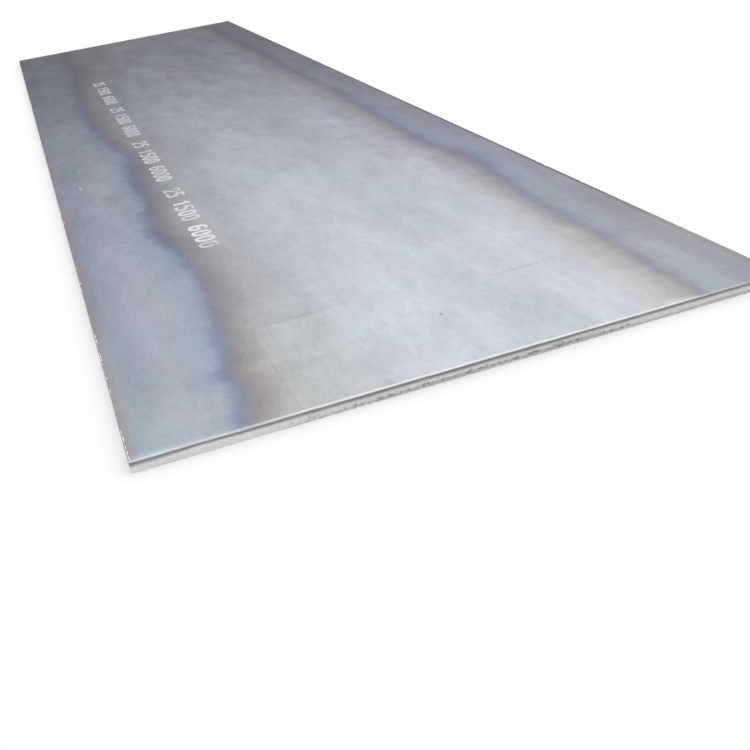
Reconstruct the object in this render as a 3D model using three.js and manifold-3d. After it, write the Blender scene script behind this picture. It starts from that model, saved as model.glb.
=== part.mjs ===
/**
 * Hot-rolled steel plate, 1500 x 6000 x 25 mm, as a plate mill stocks it.
 *
 * The plate is one rolled slab of steel lying flat: X runs across its width, Y along the way it was rolled, and Z up
 * through its thickness. The origin is the middle of the face that it lies on. All sizes are in millimetres.
 *
 * All four edges are sheared. A shear leaves the same four stretches on every edge, from the face that its moving blade
 * meets to the other one: a rollover, where that face is drawn in, a burnished land that the blade rubbed flat, a
 * fracture that leans in under the land, and a broken corner. The crosscut ends were sheared from above and the long
 * edges from below, so their rollovers are on opposite faces.
 */
import * as THREE from "three";
import { mergeVertices } from "three/addons/utils/BufferGeometryUtils.js";
import Module from "manifold-3d";

// Driving dimensions of the plate.
const PLATE_WIDTH = 1500;
const PLATE_LENGTH = 6000;
const PLATE_THICKNESS = 25;

// The two crosscut ends.
const END_ROLLOVER_RUN = 10; // along the face that is drawn in
const END_ROLLOVER_DROP = 2; // down the cut
const END_LAND_HEIGHT = 9;
const END_FRACTURE_RECESS = 1.2; // how far the fracture leans in at its foot
const END_CORNER_BREAK = 0.5;

// The two long edges.
const SIDE_ROLLOVER_RUN = 8;
const SIDE_ROLLOVER_DROP = 5;
const SIDE_LAND_HEIGHT = 9;
const SIDE_FRACTURE_RECESS = 1;
const SIDE_CORNER_BREAK = 0.4;

const ROLLOVER_STEPS = 12; // facets along each rollover's curve

const CROSSCUT_END = {
  rolloverRun: END_ROLLOVER_RUN,
  rolloverDrop: END_ROLLOVER_DROP,
  landHeight: END_LAND_HEIGHT,
  fractureRecess: END_FRACTURE_RECESS,
  cornerBreak: END_CORNER_BREAK,
};

const LONG_EDGE = {
  rolloverRun: SIDE_ROLLOVER_RUN,
  rolloverDrop: SIDE_ROLLOVER_DROP,
  landHeight: SIDE_LAND_HEIGHT,
  fractureRecess: SIDE_FRACTURE_RECESS,
  cornerBreak: SIDE_CORNER_BREAK,
};

const wasm = await Module();
wasm.setup();

/** A closed three.js geometry as a manifold-3d solid. */
function solidFromGeometry(geometry) {
  const bare = geometry.clone().deleteAttribute("normal").deleteAttribute("uv");
  const merged = mergeVertices(bare);
  return new wasm.Manifold(
    new wasm.Mesh({
      numProp: 3,
      vertProperties: merged.getAttribute("position").array,
      triVerts: new Uint32Array(merged.index.array),
    }),
  );
}

/** A manifold-3d solid as a flat-shaded three.js geometry. */
function geometryFromSolid(solid) {
  const mesh = solid.getMesh();
  const shared = new THREE.BufferGeometry();
  shared.setAttribute("position", new THREE.BufferAttribute(new Float32Array(mesh.vertProperties), 3));
  shared.setIndex(new THREE.BufferAttribute(new Uint32Array(mesh.triVerts), 1));
  const flat = shared.toNonIndexed();
  flat.computeVertexNormals();
  return flat;
}

/**
 * The line of a sheared edge, as points of { inset, depth }: how far each lies inside the edge's outermost plane, and
 * how far below the face that the blade met first.
 */
function shearedEdgeLine(edge, thickness) {
  const { rolloverRun, rolloverDrop, landHeight, fractureRecess, cornerBreak } = edge;
  const rollover = new THREE.EllipseCurve(
    rolloverRun, rolloverDrop, // centre
    rolloverRun, rolloverDrop, // radii
    -Math.PI / 2, -Math.PI, // from the face round to the land
    true,
  );
  const line = rollover.getPoints(ROLLOVER_STEPS).map(({ x, y }) => ({ inset: x, depth: y }));
  line.push(
    { inset: 0, depth: rolloverDrop + landHeight },
    { inset: fractureRecess, depth: thickness - cornerBreak },
    { inset: fractureRecess + cornerBreak, depth: thickness },
  );
  return line;
}

/**
 * The plate's section between two like sheared edges, `span` apart, with the face that it lies on at height 0. `heightAt`
 * turns a depth of the edge's line into a height, which says which way up the edge was sheared.
 */
function sectionBetween(span, edge, heightAt) {
  const right = shearedEdgeLine(edge, PLATE_THICKNESS).map(
    ({ inset, depth }) => new THREE.Vector2(span / 2 - inset, heightAt(depth)),
  );
  const left = right.map(({ x, y }) => new THREE.Vector2(-x, y)).reverse();
  return new THREE.Shape([...right, ...left]);
}

/** A section drawn out to `length`, centred on its own plane. */
function drawnOut(section, length) {
  const geometry = new THREE.ExtrudeGeometry(section, { depth: length, bevelEnabled: false, steps: 1 });
  return geometry.translate(0, 0, -length / 2);
}

/** The slab between the two crosscut ends, which runs on past both long edges. */
function slabBetweenEnds() {
  const section = sectionBetween(PLATE_LENGTH, CROSSCUT_END, (depth) => PLATE_THICKNESS - depth);
  const slab = drawnOut(section, PLATE_WIDTH + 2 * PLATE_THICKNESS);
  return slab.applyMatrix4(
    new THREE.Matrix4().makeBasis(
      new THREE.Vector3(0, 1, 0), // the section's width lies along Y
      new THREE.Vector3(0, 0, 1),
      new THREE.Vector3(1, 0, 0), // and it is drawn out along X
    ),
  );
}

/** The slab between the two long edges, which runs on past both crosscut ends. */
function slabBetweenLongEdges() {
  const section = sectionBetween(PLATE_WIDTH, LONG_EDGE, (depth) => depth);
  return drawnOut(section, PLATE_LENGTH + 2 * PLATE_THICKNESS).rotateX(Math.PI / 2);
}

/** The whole plate: what the two slabs share, so that their edges mitre at the four corners. */
function plate() {
  const solid = solidFromGeometry(slabBetweenEnds()).intersect(solidFromGeometry(slabBetweenLongEdges()));
  const millScale = new THREE.MeshStandardMaterial({ color: "#aab2ba", roughness: 0.42, metalness: 0.85 });
  const mesh = new THREE.Mesh(geometryFromSolid(solid), millScale);
  mesh.name = "plate";
  return mesh;
}

const steelPlate = new THREE.Group();
steelPlate.add(plate());

export default steelPlate;
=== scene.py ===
"""A hot-rolled steel plate: its mill scale, its sheared edges and the size figures painted on its top face."""

import logging
import math
import random
from dataclasses import dataclass, field
from enum import Enum

import bmesh
import bpy
from mathutils import Matrix, Vector, noise


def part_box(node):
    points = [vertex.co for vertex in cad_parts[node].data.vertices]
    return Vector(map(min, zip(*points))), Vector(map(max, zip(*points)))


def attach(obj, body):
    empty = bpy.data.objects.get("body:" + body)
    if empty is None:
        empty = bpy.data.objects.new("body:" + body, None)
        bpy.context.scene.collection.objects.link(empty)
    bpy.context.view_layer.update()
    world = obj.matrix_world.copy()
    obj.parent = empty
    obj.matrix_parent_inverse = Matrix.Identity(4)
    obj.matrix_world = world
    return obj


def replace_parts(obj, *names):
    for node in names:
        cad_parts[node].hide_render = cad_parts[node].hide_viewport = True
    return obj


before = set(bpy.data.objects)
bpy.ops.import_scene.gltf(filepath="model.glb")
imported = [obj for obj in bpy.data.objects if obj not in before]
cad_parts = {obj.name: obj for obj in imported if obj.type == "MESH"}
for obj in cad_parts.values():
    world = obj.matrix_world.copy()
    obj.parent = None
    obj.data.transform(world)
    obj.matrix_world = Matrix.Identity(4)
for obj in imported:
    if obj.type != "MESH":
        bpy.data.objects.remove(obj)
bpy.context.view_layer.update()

MM = 0.001
BODY = "root"
PLATE_NODE = "plate"
STEEL_SLOT = "mill_scale_steel"
PAINT_SLOT = "marking_paint"
LEVEL_TOLERANCE = 1e-7
SIDE_TOLERANCE = 1e-6
CUT_TOLERANCE = 1e-5

Socket = bpy.types.NodeSocket
Mesh = bmesh.types.BMesh
Colour = tuple[float, float, float]
Place = tuple[float, float, float]
Point = tuple[float, float]
Span = tuple[float, float, float, float]
Masks = tuple[float, float, float, float]
Stops = tuple[tuple[float, Colour], ...]

log = logging.getLogger("steel_plate")


def smoothstep(low: float, high: float, value: float) -> float:
    """A smooth climb from 0 at `low` to 1 at `high`."""
    t = min(max((value - low) / (high - low), 0.0), 1.0)
    return t * t * (3.0 - 2.0 * t)


def along(points: tuple[Point, ...], at: float) -> float:
    """Reads a height off a line that joins points one after another.

    Args:
        points: The line's places with their heights, in rising order.
        at: The place to read.

    Returns:
        The height there, which is level beyond the line's ends.
    """
    if at <= points[0][0]:
        return points[0][1]
    for (x0, y0), (x1, y1) in zip(points, points[1:]):
        if at <= x1:
            return y0 + (y1 - y0) * (at - x0) / (x1 - x0)
    return points[-1][1]


def ripple(*place: float) -> float:
    """Smooth noise, from about -1 to 1, at a place that is given in wavelengths."""
    x, y, z = (*place, 0.0, 0.0)[:3]
    return noise.noise(Vector((x, y, z)))


def grey(level: float) -> Colour:
    """A neutral tint."""
    return (level, level, level)


def times(colour: Colour, tint: Colour) -> Colour:
    """A colour multiplied by a tint."""
    return tuple(part * share for part, share in zip(colour, tint))


def make_piece(mesh: Mesh, name: str, finishes: list[bpy.types.Material]) -> bpy.types.Object:
    """Turns a bmesh into an object at the origin.

    Args:
        mesh: The finished mesh, which is freed.
        name: The name of the object and its mesh.
        finishes: Its materials, in the order of their indices on the faces.

    Returns:
        The new object.
    """
    data = bpy.data.meshes.new(name)
    mesh.to_mesh(data)
    mesh.free()
    for finish in finishes:
        data.materials.append(finish)
    piece = bpy.data.objects.new(name, data)
    bpy.context.scene.collection.objects.link(piece)
    return piece


@dataclass(frozen=True)
class Pattern:
    """A noise pattern of a finish.

    Attributes:
        waves: How many waves it has per metre, along X, Y and Z.
        detail: How many finer layers it has.
        rough: How strong each finer layer is.
        shift: What sets it apart from other patterns, in waves.
    """

    waves: Place
    detail: float = 3.0
    rough: float = 0.5
    shift: Place = (0.0, 0.0, 0.0)


@dataclass(frozen=True)
class Ripple:
    """Smooth noise on a cut.

    Attributes:
        swing: How far it goes to each side of 0.
        wave: Its wavelength across or along the cut, in metres.
        down: Its wavelength down the cut in metres, where it changes that way.
        seed: What sets it apart from the cut's other ripples.
    """

    swing: float
    wave: float
    down: float | None = None
    seed: float = 0.0

    def at(self, seed: float, place: float, depth: float = 0.0) -> float:
        """Reads the ripple.

        Args:
            seed: The cut's own seed.
            place: The place across or along the cut, in metres.
            depth: The place down the cut, in metres.

        Returns:
            The ripple's height there.
        """
        if self.down is None:
            return self.swing * ripple(place / self.wave, seed + self.seed)
        return self.swing * ripple(place / self.wave, depth / self.down, seed + self.seed)


class Bench:
    """A node tree, with short calls that add nodes and join them."""

    MIX_INPUTS = (0, 6, 7)
    MIX_RESULT = 2
    MIDDLE = 0.5

    def __init__(self, tree: bpy.types.NodeTree) -> None:
        """Keeps the tree and empties it."""
        self.tree = tree
        tree.nodes.clear()

    def node(self, kind: str, **settings: object) -> bpy.types.Node:
        """Adds a node.

        Args:
            kind: The node's type without its ShaderNode prefix.
            settings: Properties of the node, by name.

        Returns:
            The new node.
        """
        made = self.tree.nodes.new("ShaderNode" + kind)
        for name, value in settings.items():
            setattr(made, name, value)
        return made

    def feed(self, socket: Socket, value: object) -> None:
        """Fills an input.

        Args:
            socket: The input.
            value: An output to join to it, or a plain number, vector or colour.
        """
        if isinstance(value, Socket):
            self.tree.links.new(value, socket)
        elif isinstance(value, tuple) and len(value) == 3 and len(socket.default_value) == 4:
            socket.default_value = (*value, 1.0)
        else:
            socket.default_value = value

    def place(self) -> Socket:
        """The place on the piece, in metres."""
        return self.node("TexCoord").outputs["Object"]

    def axes(self, vector: Socket) -> tuple[Socket, ...]:
        """Splits a vector.

        Args:
            vector: The vector.

        Returns:
            Its parts along X, Y and Z.
        """
        made = self.node("SeparateXYZ")
        self.feed(made.inputs[0], vector)
        return tuple(made.outputs)

    def math(self, operation: str, *values: object, clamp: bool = False) -> Socket:
        """Adds a Math node.

        Args:
            operation: What it does.
            values: What it works on, in order.
            clamp: Whether its result is held between 0 and 1.

        Returns:
            The result.
        """
        made = self.node("Math", operation=operation, use_clamp=clamp)
        for socket, value in zip(made.inputs, values):
            self.feed(socket, value)
        return made.outputs[0]

    def sway(self, noise_value: Socket, gain: object, base: object, clamp: bool = False) -> Socket:
        """Moves a value up and down with noise.

        Args:
            noise_value: Noise about 0.5.
            gain: How far a whole step of the noise moves the value.
            base: The value.
            clamp: Whether the result is held between 0 and 1.

        Returns:
            The moved value.
        """
        return self.math("MULTIPLY_ADD", self.math("SUBTRACT", noise_value, self.MIDDLE), gain, base, clamp=clamp)

    def span(self, value: object, low: float, high: float, to_low: float = 0.0, to_high: float = 1.0,
             smooth: bool = True) -> Socket:
        """Maps one range to another.

        Args:
            value: What is mapped.
            low: The range's start.
            high: The range's end.
            to_low: The result at the start and before it.
            to_high: The result at the end and after it.
            smooth: Whether the change eases in and out.

        Returns:
            The result.
        """
        made = self.node("MapRange", interpolation_type="SMOOTHSTEP" if smooth else "LINEAR", clamp=True)
        for socket, given in zip(made.inputs, (value, low, high, to_low, to_high)):
            self.feed(socket, given)
        return made.outputs[0]

    def mix(self, share: object, first: object, second: object, blend: str = "MIX") -> Socket:
        """Mixes two colours.

        Args:
            share: The share of the second colour.
            first: The first colour.
            second: The second colour.
            blend: How the second colour acts on the first.

        Returns:
            The mixed colour.
        """
        made = self.node("Mix", data_type="RGBA", blend_type=blend)
        for index, value in zip(self.MIX_INPUTS, (share, first, second)):
            self.feed(made.inputs[index], value)
        return made.outputs[self.MIX_RESULT]

    def tinted(self, colour: object, tint: object, share: object = 1.0) -> Socket:
        """A colour multiplied by a share of a tint."""
        return self.mix(share, colour, tint, "MULTIPLY")

    def shade(self, colour: object, factor: object) -> Socket:
        """Multiplies a colour.

        Args:
            colour: The colour.
            factor: The number that it is multiplied by.

        Returns:
            The lighter or darker colour.
        """
        made = self.node("VectorMath", operation="SCALE")
        self.feed(made.inputs[0], colour)
        self.feed(made.inputs["Scale"], factor)
        return made.outputs[0]

    def cloud(self, vector: Socket, detail: float, rough: float) -> Socket:
        """Adds fractal noise.

        Args:
            vector: The place, in wavelengths.
            detail: How many finer layers the noise has.
            rough: How strong each finer layer is.

        Returns:
            Noise about 0.5.
        """
        made = self.node("TexNoise")
        self.feed(made.inputs["Vector"], vector)
        made.inputs["Scale"].default_value = 1.0
        made.inputs["Detail"].default_value = detail
        made.inputs["Roughness"].default_value = rough
        return made.outputs[0]

    def pattern(self, place: Socket, pattern: Pattern) -> Socket:
        """Adds a noise pattern.

        Args:
            place: The place on the piece, in metres.
            pattern: The pattern's sizes.

        Returns:
            Noise about 0.5.
        """
        made = self.node("Mapping")
        self.feed(made.inputs["Vector"], place)
        made.inputs["Location"].default_value = pattern.shift
        made.inputs["Scale"].default_value = pattern.waves
        return self.cloud(made.outputs[0], pattern.detail, pattern.rough)

    def ramp(self, value: object, stops: Stops) -> Socket:
        """Reads a colour off a ramp.

        Args:
            value: The place on the ramp, from 0 to 1.
            stops: The ramp's places with their colours.

        Returns:
            The colour.
        """
        made = self.node("ValToRGB")
        bar = made.color_ramp
        for place, colour in stops[1:-1]:
            bar.elements.new(place).color = (*colour, 1.0)
        for element, (place, colour) in ((bar.elements[0], stops[0]), (bar.elements[-1], stops[-1])):
            element.position = place
            element.color = (*colour, 1.0)
        self.feed(made.inputs[0], value)
        return made.outputs[0]

    def curve(self, value: object, points: tuple[Point, ...]) -> Socket:
        """Reads a height off a smooth curve.

        Args:
            value: The place on the curve, from 0 to 1.
            points: The curve's places with their heights, the first at 0 and the last at 1.

        Returns:
            The height.
        """
        made = self.node("FloatCurve")
        line = made.mapping.curves[0]
        line.points[0].location = points[0]
        line.points[-1].location = points[-1]
        for place in points[1:-1]:
            line.points.new(*place)
        made.mapping.update()
        self.feed(made.inputs["Value"], value)
        return made.outputs[0]

    def bump(self, height: Socket, distance: float, strength: float) -> Socket:
        """Leans the surface's normal.

        Args:
            height: The height, in shares of `distance`.
            distance: How far a height of 1 stands up, in metres.
            strength: How much of the lean is kept.

        Returns:
            The normal.
        """
        made = self.node("Bump")
        made.inputs["Strength"].default_value = strength
        made.inputs["Distance"].default_value = distance
        self.feed(made.inputs["Height"], height)
        return made.outputs[0]

    def surface(self, **sockets: object) -> None:
        """Ends the tree in a Principled shader.

        Args:
            sockets: Values or outputs for the shader's sockets, by name with underscores for spaces.
        """
        shader = self.node("BsdfPrincipled")
        for name, value in sockets.items():
            self.feed(shader.inputs[name.replace("_", " ")], value)
        self.tree.links.new(shader.outputs[0], self.node("OutputMaterial").inputs[0])


def new_material(name: str) -> tuple[bpy.types.Material, Bench]:
    """Starts a material.

    Args:
        name: The material's name.

    Returns:
        The material, and the bench for its nodes.
    """
    material = bpy.data.materials.new(name)
    material.use_nodes = True
    return material, Bench(material.node_tree)


class Edge(Enum):
    """The plate's long edges, by the side of the middle that they lie on."""

    LEFT = -1
    RIGHT = 1


@dataclass(frozen=True)
class TintBand:
    """A heat-tinted band along a long edge of the top face, which ends at a wandering line.

    Distances and places along the plate, from its near end, are in millimetres. A distance from the line is
    positive towards the middle of the plate. A tint is a share of the bare scale's colour. Waves are per metre,
    across the plate and along it.

    Attributes:
        edge: The long edge that it lies along.
        line: The line's distance from the edge, at places along the plate.
        blue: The tint at distances from the line, where it runs through blue.
        plain: The tint at distances from the line, where it doesn't.
        plainness: The share of `plain`, at places along the plate.
        wash: A further tint, at distances from the edge.
        wander: How far a whole step of noise moves the line.
        wander_waves: The waves of that noise.
        drift: How far a whole step of noise moves the share of `plain`.
        drift_waves: The waves of that noise.
        blur: How far a whole step of noise moves the wash.
        blur_waves: The waves of that noise.
        detail: How many finer layers each noise has.
        rough: How strong each finer layer is.
        reach: The greatest distance that the line may have from the edge.
    """

    edge: Edge
    line: tuple[Point, ...]
    blue: Stops
    plain: Stops
    plainness: tuple[Point, ...]
    wash: Stops
    wander: float = 40.0
    wander_waves: Point = (9.0, 15.0)
    drift: float = 1.2
    drift_waves: Point = (2.0, 6.0)
    blur: float = 75.0
    blur_waves: Point = (5.0, 2.5)
    detail: float = 3.0
    rough: float = 0.6
    reach: float = 400.0

    def tint(self, bench: Bench, x: Socket, v: Socket, half_width: float, length: float) -> Socket:
        """Works out the band's tint over the whole face.

        Args:
            bench: The material's bench.
            x: The place across the plate from its middle, in metres.
            v: The place along the plate from its near end, in metres.
            half_width: Half of the plate's width, in metres.
            length: The plate's length, in metres.

        Returns:
            The tint as a colour, which is white away from the band.
        """
        inward = bench.math("MULTIPLY_ADD", x, float(-self.edge.value), half_width)
        share = bench.math("DIVIDE", v, length)
        points = tuple((at * MM / length, off / self.reach) for at, off in self.line)
        line = bench.math("MULTIPLY", bench.curve(share, points), self.reach * MM)
        wander = self.waver(bench, inward, v, self.wander_waves)
        off = bench.sway(wander, self.wander * MM, bench.math("SUBTRACT", inward, line))
        points = tuple((at * MM / length, mixed) for at, mixed in self.plainness)
        drift = self.waver(bench, inward, v, self.drift_waves)
        plain = bench.sway(drift, self.drift, bench.curve(share, points), clamp=True)
        tint = bench.mix(plain, self.read(bench, off, self.blue), self.read(bench, off, self.plain))
        blur = self.waver(bench, inward, v, self.blur_waves)
        washed = bench.sway(blur, self.blur * MM, inward)
        return bench.tinted(tint, self.read(bench, washed, self.wash))

    def waver(self, bench: Bench, inward: Socket, v: Socket, waves: Point) -> Socket:
        """Adds noise of the band's own.

        Args:
            bench: The material's bench.
            inward: The distance from the edge, in metres.
            v: The place along the plate from its near end, in metres.
            waves: The noise's waves per metre, across the plate and along it.

        Returns:
            Noise about 0.5.
        """
        across, lengthwise = waves
        place = bench.node("CombineXYZ")
        bench.feed(place.inputs[0], bench.math("MULTIPLY", inward, across))
        bench.feed(place.inputs[1], bench.math("MULTIPLY", v, lengthwise))
        place.inputs[2].default_value = float(self.edge.value) * across
        return bench.cloud(place.outputs[0], self.detail, self.rough)

    @staticmethod
    def read(bench: Bench, at: Socket, stops: Stops) -> Socket:
        """Reads a colour off stops.

        Args:
            bench: The material's bench.
            at: The place to read, in metres.
            stops: Places in millimetres, with their colours.

        Returns:
            The colour.
        """
        low, high = stops[0][0] * MM, stops[-1][0] * MM
        shares = tuple(((place * MM - low) / (high - low), colour) for place, colour in stops)
        return bench.ramp(bench.span(at, low, high, smooth=False), shares)


LEFT_BAND = TintBand(
    edge=Edge.LEFT,
    line=(
        (0, 228), (60, 231), (110, 253), (150, 251), (190, 252), (243, 244), (268, 238), (293, 248),
        (330, 267), (440, 272), (600, 291), (700, 306), (820, 311), (1010, 311), (1120, 304), (1220, 277),
        (1400, 255), (1530, 261), (1650, 272), (1770, 292), (2040, 288), (2200, 294), (2340, 303),
        (2450, 320), (2600, 298), (2760, 277), (3100, 248), (3500, 238), (3800, 232), (4200, 248),
        (4600, 278), (5000, 300), (5600, 285), (6000, 290),
    ),
    blue=(
        (-260, (0.70, 0.71, 0.76)), (-150, (0.73, 0.74, 0.79)), (-95, (0.68, 0.74, 0.78)),
        (-58, (0.59, 0.69, 0.735)), (-30, (0.54, 0.635, 0.70)), (-14, (0.44, 0.525, 0.645)),
        (-2, (0.37, 0.435, 0.555)), (8, (0.38, 0.39, 0.50)), (20, (0.415, 0.39, 0.445)),
        (38, (0.47, 0.43, 0.415)), (62, (0.56, 0.51, 0.455)), (95, (0.69, 0.65, 0.59)),
        (140, (0.78, 0.755, 0.705)), (220, (0.81, 0.795, 0.77)), (300, (0.93, 0.92, 0.91)),
        (390, (1.0, 1.0, 1.0)),
    ),
    plain=(
        (-260, (0.70, 0.71, 0.76)), (-150, (0.73, 0.74, 0.79)), (-80, (0.63, 0.71, 0.74)),
        (-40, (0.575, 0.64, 0.685)), (-18, (0.455, 0.515, 0.57)), (-5, (0.395, 0.40, 0.46)),
        (6, (0.41, 0.39, 0.425)), (20, (0.445, 0.425, 0.42)), (38, (0.495, 0.475, 0.435)),
        (62, (0.585, 0.57, 0.505)), (95, (0.70, 0.68, 0.62)), (140, (0.78, 0.765, 0.72)),
        (220, (0.81, 0.80, 0.78)), (300, (0.93, 0.92, 0.91)), (390, (1.0, 1.0, 1.0)),
    ),
    plainness=(
        (0, 0.25), (60, 0.0), (145, 0.55), (250, 0.0), (350, 0.5), (450, 0.1), (560, 0.75), (800, 1.0),
        (1040, 0.95), (1150, 0.4), (1290, 0.0), (1420, 0.05), (1560, 0.5), (1690, 0.3), (1850, 0.6),
        (2050, 0.3), (2300, 0.2), (2600, 0.5), (3000, 0.4), (3600, 0.6), (6000, 0.6),
    ),
    wash=(
        (0, (0.87, 0.845, 0.80)), (14, (0.84, 0.835, 0.795)), (34, (0.745, 0.79, 0.785)),
        (58, (0.715, 0.79, 0.80)), (84, (0.78, 0.84, 0.85)), (112, (0.865, 0.885, 0.895)),
        (150, (0.91, 0.895, 0.91)), (200, (0.92, 0.915, 0.92)), (255, (0.94, 0.935, 0.95)),
        (340, (1.0, 1.0, 1.0)),
    ),
)

RIGHT_BAND = TintBand(
    edge=Edge.RIGHT,
    line=(
        (0, 201), (200, 195), (500, 185), (800, 180), (1000, 174), (1180, 157), (1350, 140), (1480, 149),
        (1610, 170), (1740, 181), (1900, 180), (2100, 175), (2300, 170), (2500, 161), (2900, 155),
        (3600, 166), (4300, 150), (5000, 164), (6000, 152),
    ),
    blue=(
        (-200, (0.62, 0.59, 0.63)), (-120, (0.65, 0.615, 0.66)), (-75, (0.65, 0.68, 0.74)),
        (-45, (0.585, 0.645, 0.715)), (-22, (0.51, 0.565, 0.65)), (-3, (0.425, 0.44, 0.515)),
        (12, (0.455, 0.445, 0.49)), (26, (0.555, 0.535, 0.525)), (42, (0.665, 0.63, 0.585)),
        (62, (0.78, 0.75, 0.70)), (95, (0.88, 0.85, 0.81)), (140, (0.96, 0.945, 0.92)),
        (220, (1.0, 1.0, 1.0)),
    ),
    plain=(
        (-200, (0.60, 0.60, 0.575)), (-120, (0.63, 0.635, 0.61)), (-75, (0.655, 0.68, 0.67)),
        (-45, (0.635, 0.67, 0.685)), (-22, (0.58, 0.605, 0.635)), (-5, (0.52, 0.515, 0.555)),
        (8, (0.515, 0.49, 0.51)), (22, (0.60, 0.575, 0.54)), (42, (0.715, 0.685, 0.62)),
        (66, (0.83, 0.79, 0.72)), (100, (0.915, 0.885, 0.82)), (150, (0.97, 0.955, 0.93)),
        (220, (1.0, 1.0, 1.0)),
    ),
    plainness=(
        (0, 1.0), (450, 0.95), (700, 0.6), (1000, 0.5), (1200, 0.2), (1500, 0.0), (2100, 0.1), (3000, 0.2),
        (6000, 0.2),
    ),
    wash=(
        (0, (0.98, 0.97, 0.95)), (15, (0.96, 0.955, 0.95)), (45, (0.905, 0.90, 0.92)),
        (80, (0.93, 0.93, 0.95)), (130, (0.97, 0.97, 0.975)), (190, (1.0, 1.0, 1.0)),
    ),
)


@dataclass(frozen=True)
class Mark:
    """A soft-edged box on the top face, where the scale's colour is multiplied by a tint.

    Attributes:
        x: Its range across from the left edge, in millimetres.
        v: Its range along from the near end, in millimetres.
        fades: How far it fades out on its left, right, near and far sides, in millimetres.
        tint: The tint.
    """

    x: Point
    v: Point
    fades: tuple[float, float, float, float]
    tint: Colour

    def share(self, bench: Bench, x_from_left: Socket, v: Socket) -> Socket:
        """Works out where the mark lies.

        Args:
            bench: The material's bench.
            x_from_left: The place across the plate from its left edge, in metres.
            v: The place along the plate from its near end, in metres.

        Returns:
            The mark's share of a place, from 0 to 1.
        """
        left, right, near, far = self.fades
        share = bench.span(x_from_left, (self.x[0] - left) * MM, self.x[0] * MM)
        sides = (
            bench.span(x_from_left, self.x[1] * MM, (self.x[1] + right) * MM, 1.0, 0.0),
            bench.span(v, (self.v[0] - near) * MM, self.v[0] * MM),
            bench.span(v, self.v[1] * MM, (self.v[1] + far) * MM, 1.0, 0.0),
        )
        for side in sides:
            share = bench.math("MULTIPLY", share, side)
        return share


TOP_MARKS = (
    # Scratches, and a dark spot.
    Mark(x=(400, 520), v=(468, 474), fades=(30, 110, 9, 60), tint=(0.945, 0.95, 0.955)),
    Mark(x=(400, 500), v=(468, 471), fades=(18, 70, 5, 6), tint=grey(0.95)),
    Mark(x=(588, 600), v=(474, 478), fades=(6, 6, 4, 4), tint=grey(0.93)),
    Mark(x=(985, 1095), v=(408, 412), fades=(30, 6, 4, 5), tint=(0.85, 0.865, 0.87)),
    Mark(x=(766, 770), v=(268, 272), fades=(3, 3, 3, 3), tint=grey(0.47)),
    # A paler patch with a straight side, the faint line beside it, and a darker stripe along the plate.
    Mark(x=(362, 460), v=(-60, 456), fades=(8, 220, 10, 10), tint=(1.045, 1.05, 1.035)),
    Mark(x=(352, 354), v=(-60, 440), fades=(6, 6, 6, 40), tint=grey(0.97)),
    Mark(x=(925, 1010), v=(-60, 6100), fades=(75, 75, 10, 10), tint=grey(0.94)),
    # Paler and warmer places in the near end of the left band, and a darker one further along beside it.
    Mark(x=(50, 250), v=(-60, 120), fades=(40, 40, 10, 220), tint=(1.09, 1.10, 1.06)),
    Mark(x=(215, 330), v=(-60, 500), fades=(40, 50, 10, 250), tint=(1.05, 1.06, 1.05)),
    Mark(x=(95, 205), v=(-60, 150), fades=(25, 40, 10, 200), tint=(1.06, 0.985, 1.0)),
    Mark(x=(280, 350), v=(1950, 2400), fades=(40, 40, 150, 150), tint=(0.92, 0.93, 0.94)),
    # Paler places along the near edge; those within a few millimetres of it are painted highlight on its rounded
    # edge.
    Mark(x=(1280, 1330), v=(-60, 120), fades=(30, 40, 10, 180), tint=(1.07, 1.09, 1.02)),
    Mark(x=(0, 240), v=(-60, 6), fades=(1, 80, 1, 30), tint=(1.13, 1.11, 1.11)),
    Mark(x=(0, 60), v=(-60, 60), fades=(1, 40, 1, 140), tint=(1.05, 1.07, 1.08)),
    Mark(x=(0, 60), v=(-60, 8), fades=(1, 60, 1, 26), tint=grey(1.15)),
    Mark(x=(180, 330), v=(-60, 10), fades=(30, 30, 1, 20), tint=grey(1.05)),
    Mark(x=(1225, 1262), v=(-60, 13), fades=(40, 20, 1, 20), tint=(1.24, 1.24, 1.22)),
    # Warmer and darker places beside the bands, near their near ends.
    Mark(x=(1225, 1370), v=(60, 420), fades=(60, 60, 60, 160), tint=(1.008, 1.0, 0.972)),
    Mark(x=(300, 350), v=(60, 280), fades=(30, 40, 50, 80), tint=(1.035, 1.0, 0.99)),
    Mark(x=(290, 312), v=(235, 275), fades=(15, 28, 35, 35), tint=(1.045, 1.02, 1.0)),
    Mark(x=(325, 350), v=(330, 390), fades=(15, 10, 25, 30), tint=grey(0.935)),
    # Darker places near the near edge, beside the bands and along the left edge.
    Mark(x=(540, 620), v=(-60, 220), fades=(60, 60, 1, 120), tint=grey(0.95)),
    Mark(x=(780, 890), v=(-60, 260), fades=(60, 40, 1, 120), tint=grey(0.94)),
    Mark(x=(285, 375), v=(1300, 1850), fades=(35, 35, 120, 120), tint=grey(0.89)),
    Mark(x=(1240, 1320), v=(1330, 1500), fades=(30, 30, 90, 90), tint=grey(0.89)),
    Mark(x=(-10, 24), v=(800, 1650), fades=(1, 26, 250, 200), tint=grey(0.86)),
    # A dark strip of painted shade along the far part of the right edge, and bright specks.
    Mark(x=(1493, 1520), v=(1000, 6100), fades=(5, 1, 650, 1), tint=(0.42, 0.41, 0.43)),
    Mark(x=(91, 95), v=(2120, 2165), fades=(5, 5, 5, 5), tint=grey(1.45)),
    Mark(x=(301, 304), v=(300, 330), fades=(3, 3, 3, 3), tint=grey(1.12)),
    Mark(x=(418, 423), v=(930, 955), fades=(4, 4, 4, 4), tint=grey(1.12)),
)


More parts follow.
